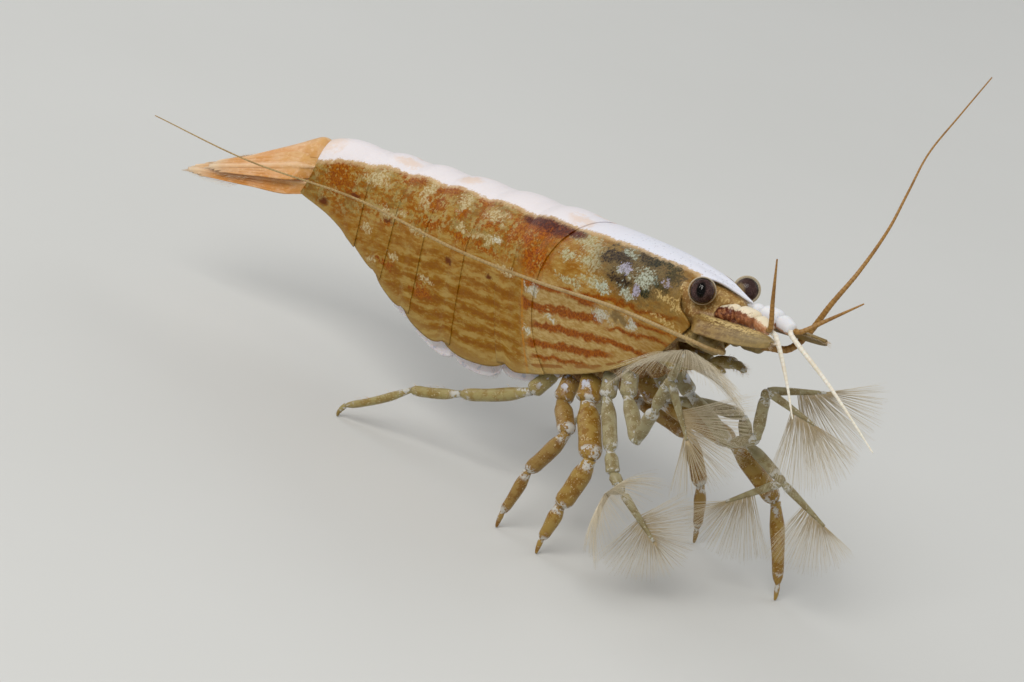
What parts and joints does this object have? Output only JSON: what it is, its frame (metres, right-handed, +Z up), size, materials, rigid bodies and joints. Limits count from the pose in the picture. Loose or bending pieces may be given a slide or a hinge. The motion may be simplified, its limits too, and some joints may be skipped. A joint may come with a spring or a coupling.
{
  "type": "bamboo shrimp",
  "caption": "Life-size still model of a filter-feeding freshwater shrimp standing on its legs with its bristle fans spread.",
  "frame": {"origin": "centre of the footprint of the whole animal, feelers included, on the floor that its claws stand on", "axes": "+X towards the head along the carapace, +Y to the animal's left, +Z up"},
  "size_m": [0.0786, 0.0494, 0.0485],
  "materials": {
    "carapace": "wet-looking translucent shell with red-orange streaks and a white stripe along the back",
    "abdomen_shell": "wet-looking translucent shell, golden tan with red-brown patches and a white stripe along the back",
    "tail_fan": "translucent orange-peach blades with pale tips and fringes of fine hairs",
    "flesh": "soft translucent flesh under the shell",
    "eye": "glassy, near-black with a pale translucent rim",
    "leg": "smooth thin shell, gold-orange with cream flecks",
    "arm": "smooth thin shell, olive-tan",
    "bristle": "fine pale cream bristles",
    "head_limb": "smooth thin shell, brown-red with pale edges",
    "feeler": "translucent brown-orange rings",
    "white_feeler": "cream-white fine rings",
    "swimmeret": "translucent cream blades"
  },
  "bodies": {
    "root": {"abdomen_1": "abdomen_shell", "abdomen_2": "abdomen_shell", "abdomen_3": "abdomen_shell", "abdomen_4": "abdomen_shell", "abdomen_5": "abdomen_shell", "abdomen_6": "abdomen_shell", "antenna_left": "feeler", "antenna_right": "feeler", "antenna_scale_left": "head_limb", "antenna_scale_right": "head_limb", "antenna_stalk_left": "head_limb", "antenna_stalk_right": "head_limb", "antennule_inner_left": "white_feeler", "antennule_inner_right": "white_feeler", "antennule_outer_left": "feeler", "antennule_outer_right": "feeler", "antennule_stalk_left": "head_limb", "antennule_stalk_right": "head_limb", "arm_1_left": "arm", "arm_1_right": "arm", "arm_2_left": "arm", "arm_2_right": "arm", "carapace": "carapace", "eye_left": "eye", "eye_right": "eye", "eye_stalk_left": "flesh", "eye_stalk_right": "flesh", "fan_1_left_lower": "bristle", "fan_1_left_upper": "bristle", "fan_1_right_lower": "bristle", "fan_1_right_upper": "bristle", "fan_2_left_lower": "bristle", "fan_2_left_upper": "bristle", "fan_2_right_lower": "bristle", "fan_2_right_upper": "bristle", "leg_3_left": "leg", "leg_3_right": "leg", "leg_4_left": "leg", "leg_4_right": "leg", "leg_5_left": "leg", "leg_5_right": "leg", "maxilliped_left": "arm", "maxilliped_right": "arm", "swimmeret_1_left": "swimmeret", "swimmeret_1_right": "swimmeret", "swimmeret_2_left": "swimmeret", "swimmeret_2_right": "swimmeret", "swimmeret_3_left": "swimmeret", "swimmeret_3_right": "swimmeret", "swimmeret_4_left": "swimmeret", "swimmeret_4_right": "swimmeret", "swimmeret_5_left": "swimmeret", "swimmeret_5_right": "swimmeret", "telson": "tail_fan", "thorax": "flesh", "uropod_inner_left": "tail_fan", "uropod_inner_right": "tail_fan", "uropod_outer_left": "tail_fan", "uropod_outer_right": "tail_fan"}
  },
  "joints": []
}
